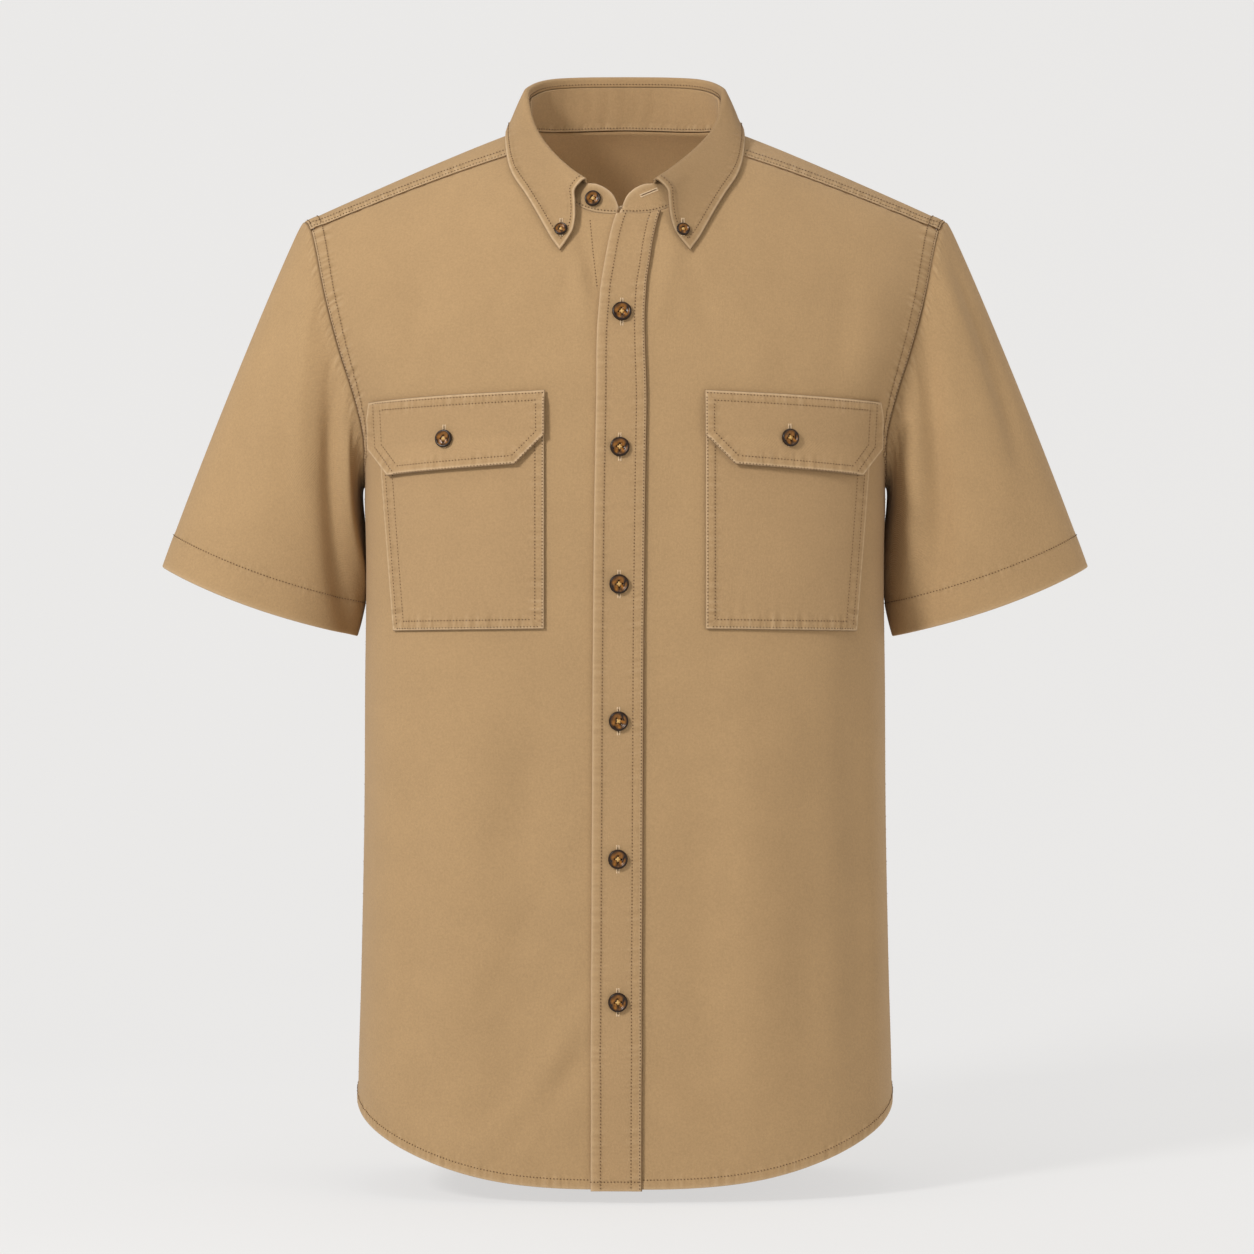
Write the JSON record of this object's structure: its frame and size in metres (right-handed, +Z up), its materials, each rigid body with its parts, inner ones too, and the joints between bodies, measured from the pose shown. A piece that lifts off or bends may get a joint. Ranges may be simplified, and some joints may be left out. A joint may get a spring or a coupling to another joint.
{
  "type": "work shirt",
  "caption": "Short-sleeved cotton work shirt in its worn shape, with a button-down collar, a full button placket and two flapped chest pockets.",
  "frame": {"origin": "midway between the wearer's shoulders, where the shirt rests on them", "axes": "+Z up; the front faces -Y; +X is the wearer's left"},
  "size_m": [0.7116, 0.2539, 0.8545],
  "materials": {
    "khaki_twill": "matt cotton twill, khaki",
    "brown_horn": "glossy dark brown horn look"
  },
  "bodies": {
    "root": {"back": "khaki_twill", "collar_leaf": "khaki_twill", "collar_stand": "khaki_twill", "flap_left": "khaki_twill", "flap_right": "khaki_twill", "front_left": "khaki_twill", "front_right": "khaki_twill", "placket": "khaki_twill", "pocket_left": "khaki_twill", "pocket_right": "khaki_twill", "sleeve_left": "khaki_twill", "sleeve_right": "khaki_twill", "yoke": "khaki_twill", "button_front_1": "brown_horn", "button_front_2": "brown_horn", "button_front_3": "brown_horn", "button_front_4": "brown_horn", "button_front_5": "brown_horn", "button_front_6": "brown_horn", "button_neck": "brown_horn", "button_collar_left": "brown_horn", "button_collar_right": "brown_horn", "button_flap_left": "brown_horn", "button_flap_right": "brown_horn"}
  },
  "joints": []
}
